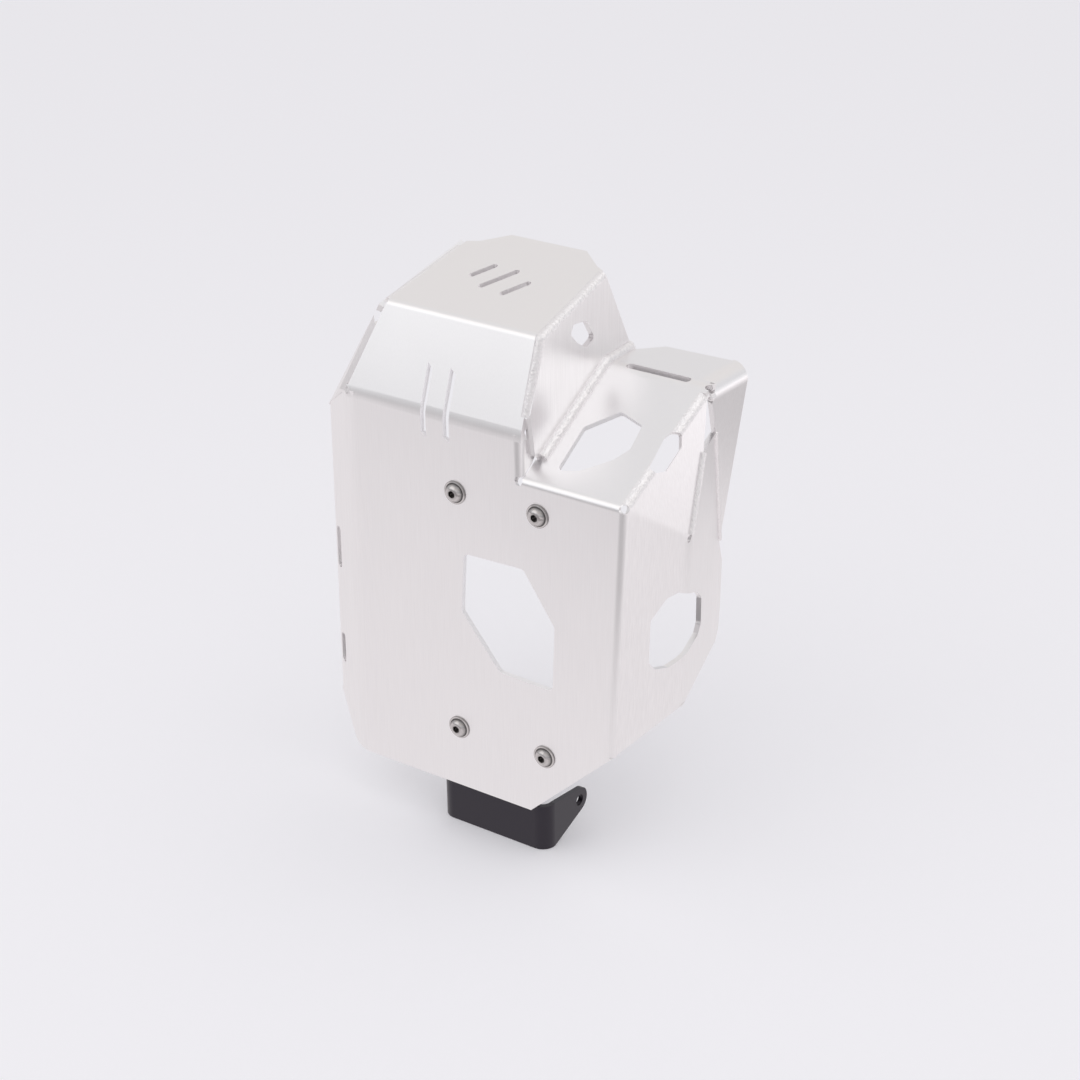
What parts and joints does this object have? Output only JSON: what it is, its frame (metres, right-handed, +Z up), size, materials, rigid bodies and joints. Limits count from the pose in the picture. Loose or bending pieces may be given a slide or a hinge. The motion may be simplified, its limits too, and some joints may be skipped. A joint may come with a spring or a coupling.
{
  "type": "motorcycle skid plate",
  "caption": "Folded aluminium skid plate that shields an engine's front and sides, with a hood, a side box, cut-outs and bent steel frame brackets.",
  "frame": {"origin": "middle of the lower bracket's frame bolt, on the bolt's axis half way between the outer faces of its two ears", "axes": "+Z up along the front panel as the plate is pictured, -Y out of the front panel's outer face, +X to the right seen from the front"},
  "size_m": [0.2889, 0.1701, 0.4292],
  "materials": {
    "brushed_aluminium": "fine brushed, uncoated",
    "weld": "as welded",
    "black_coat": "satin black powder coat on steel",
    "stainless": "polished stainless"
  },
  "bodies": {
    "root": {"skid_sheet": "brushed_aluminium", "cheek_right": "brushed_aluminium", "cheek_left": "brushed_aluminium", "bead_cheek_box": "weld", "bead_hood_right": "weld", "bead_hood_left": "weld", "bead_wing_left": "weld", "bead_box_corner": "weld", "bead_box_side": "weld", "bead_gusset": "weld", "bead_dab": "weld", "lower_bracket": "black_coat", "upper_bracket": "black_coat", "screw_upper_left": "stainless", "nut_upper_left": "stainless", "screw_upper_right": "stainless", "nut_upper_right": "stainless", "screw_lower_left": "stainless", "nut_lower_left": "stainless", "screw_lower_right": "stainless", "nut_lower_right": "stainless"}
  },
  "joints": []
}
